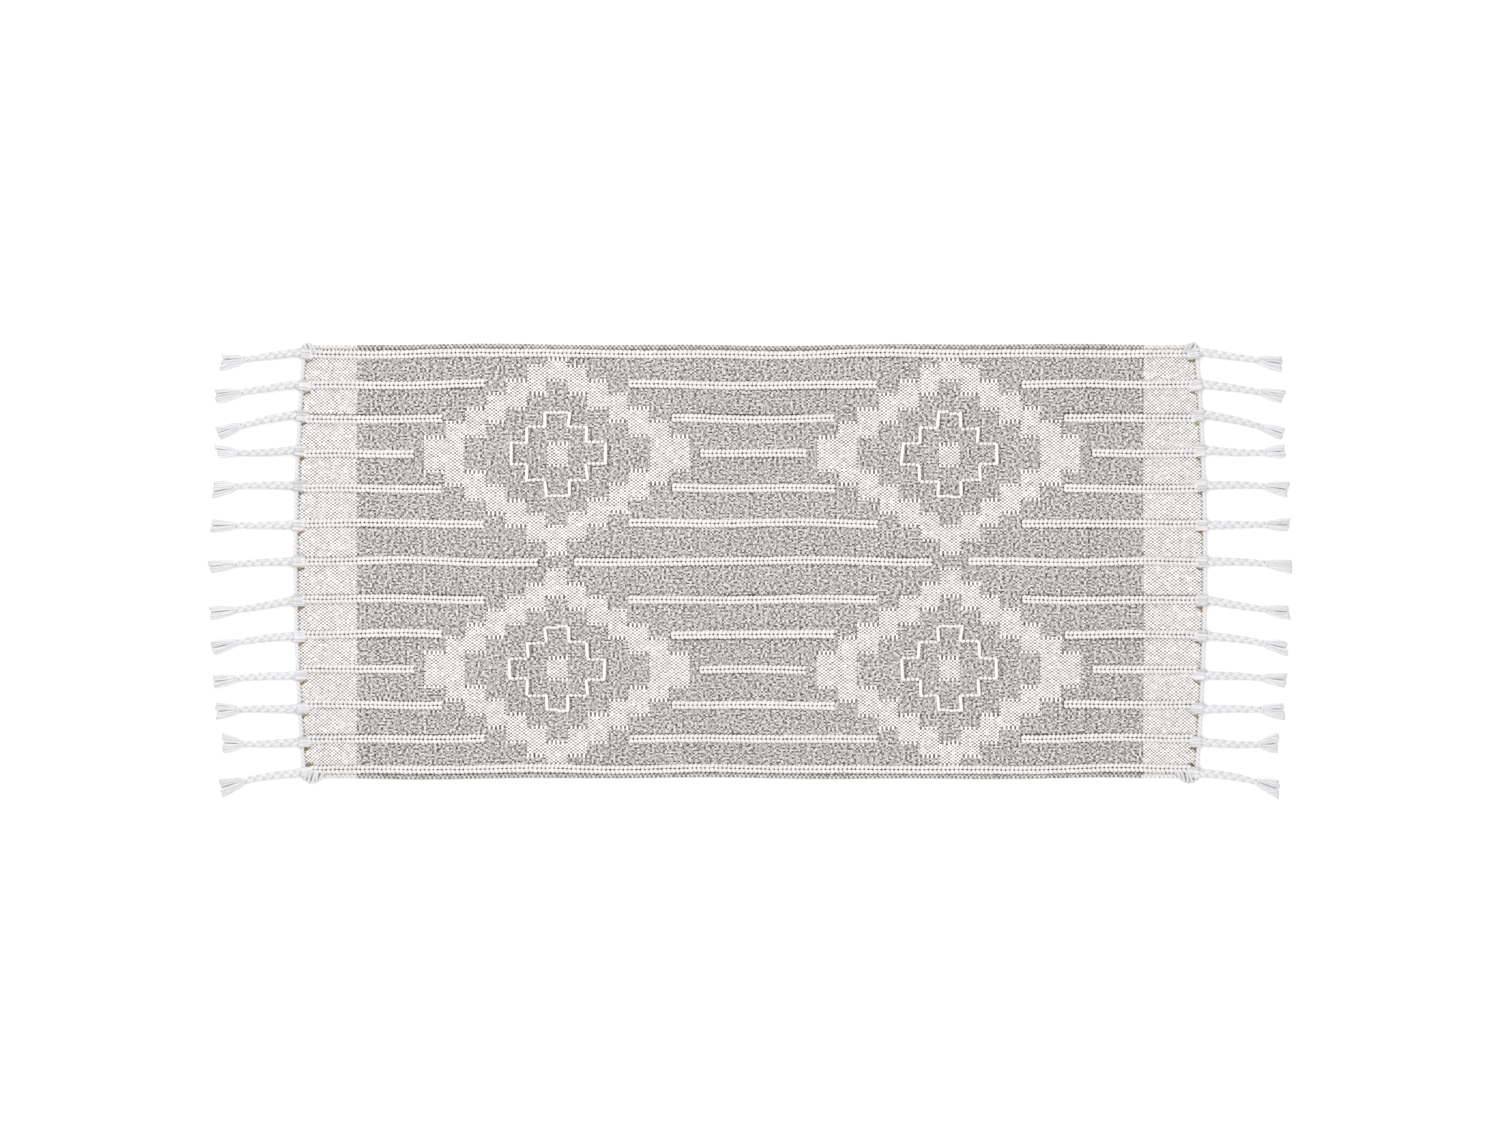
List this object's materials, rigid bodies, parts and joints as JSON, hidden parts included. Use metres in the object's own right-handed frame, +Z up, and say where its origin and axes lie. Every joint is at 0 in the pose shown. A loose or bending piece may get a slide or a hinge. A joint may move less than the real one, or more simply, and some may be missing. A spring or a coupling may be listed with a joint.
{
  "type": "runner rug",
  "caption": "Flat-woven cotton runner with grey melange ground, raised white rib rows, stepped diamonds, white end bands and braided tassels that swing at their knots.",
  "frame": {"origin": "the middle of the underside, on the floor", "axes": "+X along the rug's length, +Y across it towards the rear long edge, +Z up"},
  "size_m": [1.5074, 0.6289, 0.012],
  "materials": {
    "grey_melange": "plain weave of twisted grey and white cotton yarn",
    "white_cotton": "undyed white cotton weave",
    "tassel_cotton": "soft twisted white cotton yarn",
    "hem_thread": "gold-brown sewing thread"
  },
  "bodies": {
    "rug": {"ground_cloth": "grey_melange", "end_band_left": "white_cotton", "end_band_right": "white_cotton", "long_hem_rear": "grey_melange", "long_hem_front": "grey_melange", "end_cord_left": "tassel_cotton", "end_cord_right": "tassel_cotton", "tassel_knots_left": "tassel_cotton", "tassel_knots_right": "tassel_cotton", "hem_stitches_left": "hem_thread", "hem_stitches_right": "hem_thread", "diamond_centres": "white_cotton", "diamond_rear_left": "white_cotton", "diamond_rear_right": "white_cotton", "diamond_front_left": "white_cotton", "diamond_front_right": "white_cotton", "outline_rear_left": "white_cotton", "outline_rear_right": "white_cotton", "outline_front_left": "white_cotton", "outline_front_right": "white_cotton", "rib_row_01": "white_cotton", "rib_row_02": "white_cotton", "rib_row_03": "white_cotton", "rib_row_04": "white_cotton", "rib_row_05": "white_cotton", "rib_row_06": "white_cotton", "rib_row_07": "white_cotton", "rib_row_08": "white_cotton", "rib_row_09": "white_cotton", "rib_row_10": "white_cotton", "rib_row_11": "white_cotton", "rib_row_12": "white_cotton", "rib_row_13": "white_cotton"},
    "tassel_left_01": {"tassel_left_01": "tassel_cotton"},
    "tassel_left_02": {"tassel_left_02": "tassel_cotton"},
    "tassel_left_03": {"tassel_left_03": "tassel_cotton"},
    "tassel_left_04": {"tassel_left_04": "tassel_cotton"},
    "tassel_left_05": {"tassel_left_05": "tassel_cotton"},
    "tassel_left_06": {"tassel_left_06": "tassel_cotton"},
    "tassel_left_07": {"tassel_left_07": "tassel_cotton"},
    "tassel_left_08": {"tassel_left_08": "tassel_cotton"},
    "tassel_left_09": {"tassel_left_09": "tassel_cotton"},
    "tassel_left_10": {"tassel_left_10": "tassel_cotton"},
    "tassel_left_11": {"tassel_left_11": "tassel_cotton"},
    "tassel_left_12": {"tassel_left_12": "tassel_cotton"},
    "tassel_left_13": {"tassel_left_13": "tassel_cotton"},
    "tassel_right_01": {"tassel_right_01": "tassel_cotton"},
    "tassel_right_02": {"tassel_right_02": "tassel_cotton"},
    "tassel_right_03": {"tassel_right_03": "tassel_cotton"},
    "tassel_right_04": {"tassel_right_04": "tassel_cotton"},
    "tassel_right_05": {"tassel_right_05": "tassel_cotton"},
    "tassel_right_06": {"tassel_right_06": "tassel_cotton"},
    "tassel_right_07": {"tassel_right_07": "tassel_cotton"},
    "tassel_right_08": {"tassel_right_08": "tassel_cotton"},
    "tassel_right_09": {"tassel_right_09": "tassel_cotton"},
    "tassel_right_10": {"tassel_right_10": "tassel_cotton"},
    "tassel_right_11": {"tassel_right_11": "tassel_cotton"},
    "tassel_right_12": {"tassel_right_12": "tassel_cotton"},
    "tassel_right_13": {"tassel_right_13": "tassel_cotton"}
  },
  "joints": [
    {"name": "tassel_left_01_swing", "type": "hinge", "parent": "rug", "child": "tassel_left_01", "pos_m": [-0.63051, 0.28941, 0.006], "axis": [0, 0, 1], "range_deg": [-18, 13]},
    {"name": "tassel_left_02_swing", "type": "hinge", "parent": "rug", "child": "tassel_left_02", "pos_m": [-0.6338, 0.24495, 0.006], "axis": [0, 0, 1], "range_deg": [-12, 17]},
    {"name": "tassel_left_03_swing", "type": "hinge", "parent": "rug", "child": "tassel_left_03", "pos_m": [-0.63642, 0.20271, 0.006], "axis": [0, 0, 1], "range_deg": [-17, 2]},
    {"name": "tassel_left_04_swing", "type": "hinge", "parent": "rug", "child": "tassel_left_04", "pos_m": [-0.63882, 0.15394, 0.006], "axis": [0, 0, 1], "range_deg": [-2, 18]},
    {"name": "tassel_left_05_swing", "type": "hinge", "parent": "rug", "child": "tassel_left_05", "pos_m": [-0.64056, 0.10547, 0.006], "axis": [0, 0, 1], "range_deg": [-16, 16]},
    {"name": "tassel_left_06_swing", "type": "hinge", "parent": "rug", "child": "tassel_left_06", "pos_m": [-0.64175, 0.05068, 0.006], "axis": [0, 0, 1], "range_deg": [-15, 18]},
    {"name": "tassel_left_07_swing", "type": "hinge", "parent": "rug", "child": "tassel_left_07", "pos_m": [-0.6421, 0, 0.006], "axis": [0, 0, 1], "range_deg": [-18, 18]},
    {"name": "tassel_left_08_swing", "type": "hinge", "parent": "rug", "child": "tassel_left_08", "pos_m": [-0.64169, -0.05469, 0.006], "axis": [0, 0, 1], "range_deg": [-18, 16]},
    {"name": "tassel_left_09_swing", "type": "hinge", "parent": "rug", "child": "tassel_left_09", "pos_m": [-0.64062, -0.10346, 0.006], "axis": [0, 0, 1], "range_deg": [-15, 14]},
    {"name": "tassel_left_10_swing", "type": "hinge", "parent": "rug", "child": "tassel_left_10", "pos_m": [-0.63865, -0.15795, 0.006], "axis": [0, 0, 1], "range_deg": [-13, 9]},
    {"name": "tassel_left_11_swing", "type": "hinge", "parent": "rug", "child": "tassel_left_11", "pos_m": [-0.63633, -0.20421, 0.006], "axis": [0, 0, 1], "range_deg": [-10, 9]},
    {"name": "tassel_left_12_swing", "type": "hinge", "parent": "rug", "child": "tassel_left_12", "pos_m": [-0.63342, -0.25047, 0.006], "axis": [0, 0, 1], "range_deg": [-11, 18]},
    {"name": "tassel_left_13_swing", "type": "hinge", "parent": "rug", "child": "tassel_left_13", "pos_m": [-0.63018, -0.29342, 0.006], "axis": [0, 0, 1], "range_deg": [-18, 18]},
    {"name": "tassel_right_01_swing", "type": "hinge", "parent": "rug", "child": "tassel_right_01", "pos_m": [0.63051, 0.28941, 0.006], "axis": [0, 0, -1], "range_deg": [-18, 13]},
    {"name": "tassel_right_02_swing", "type": "hinge", "parent": "rug", "child": "tassel_right_02", "pos_m": [0.6338, 0.24495, 0.006], "axis": [0, 0, -1], "range_deg": [-12, 16]},
    {"name": "tassel_right_03_swing", "type": "hinge", "parent": "rug", "child": "tassel_right_03", "pos_m": [0.63642, 0.20271, 0.006], "axis": [0, 0, -1], "range_deg": [-17, 2]},
    {"name": "tassel_right_04_swing", "type": "hinge", "parent": "rug", "child": "tassel_right_04", "pos_m": [0.63882, 0.15394, 0.006], "axis": [0, 0, -1], "range_deg": [-2, 18]},
    {"name": "tassel_right_05_swing", "type": "hinge", "parent": "rug", "child": "tassel_right_05", "pos_m": [0.64056, 0.10547, 0.006], "axis": [0, 0, -1], "range_deg": [-16, 15]},
    {"name": "tassel_right_06_swing", "type": "hinge", "parent": "rug", "child": "tassel_right_06", "pos_m": [0.64175, 0.05068, 0.006], "axis": [0, 0, -1], "range_deg": [-15, 18]},
    {"name": "tassel_right_07_swing", "type": "hinge", "parent": "rug", "child": "tassel_right_07", "pos_m": [0.6421, 0, 0.006], "axis": [0, 0, -1], "range_deg": [-18, 18]},
    {"name": "tassel_right_08_swing", "type": "hinge", "parent": "rug", "child": "tassel_right_08", "pos_m": [0.64169, -0.05469, 0.006], "axis": [0, 0, -1], "range_deg": [-18, 17]},
    {"name": "tassel_right_09_swing", "type": "hinge", "parent": "rug", "child": "tassel_right_09", "pos_m": [0.64062, -0.10346, 0.006], "axis": [0, 0, -1], "range_deg": [-16, 12]},
    {"name": "tassel_right_10_swing", "type": "hinge", "parent": "rug", "child": "tassel_right_10", "pos_m": [0.63865, -0.15795, 0.006], "axis": [0, 0, -1], "range_deg": [-12, 10]},
    {"name": "tassel_right_11_swing", "type": "hinge", "parent": "rug", "child": "tassel_right_11", "pos_m": [0.63633, -0.20421, 0.006], "axis": [0, 0, -1], "range_deg": [-11, 10]},
    {"name": "tassel_right_12_swing", "type": "hinge", "parent": "rug", "child": "tassel_right_12", "pos_m": [0.63342, -0.25047, 0.006], "axis": [0, 0, -1], "range_deg": [-11, 18]},
    {"name": "tassel_right_13_swing", "type": "hinge", "parent": "rug", "child": "tassel_right_13", "pos_m": [0.63018, -0.29342, 0.006], "axis": [0, 0, -1], "range_deg": [-18, 18]}
  ]
}
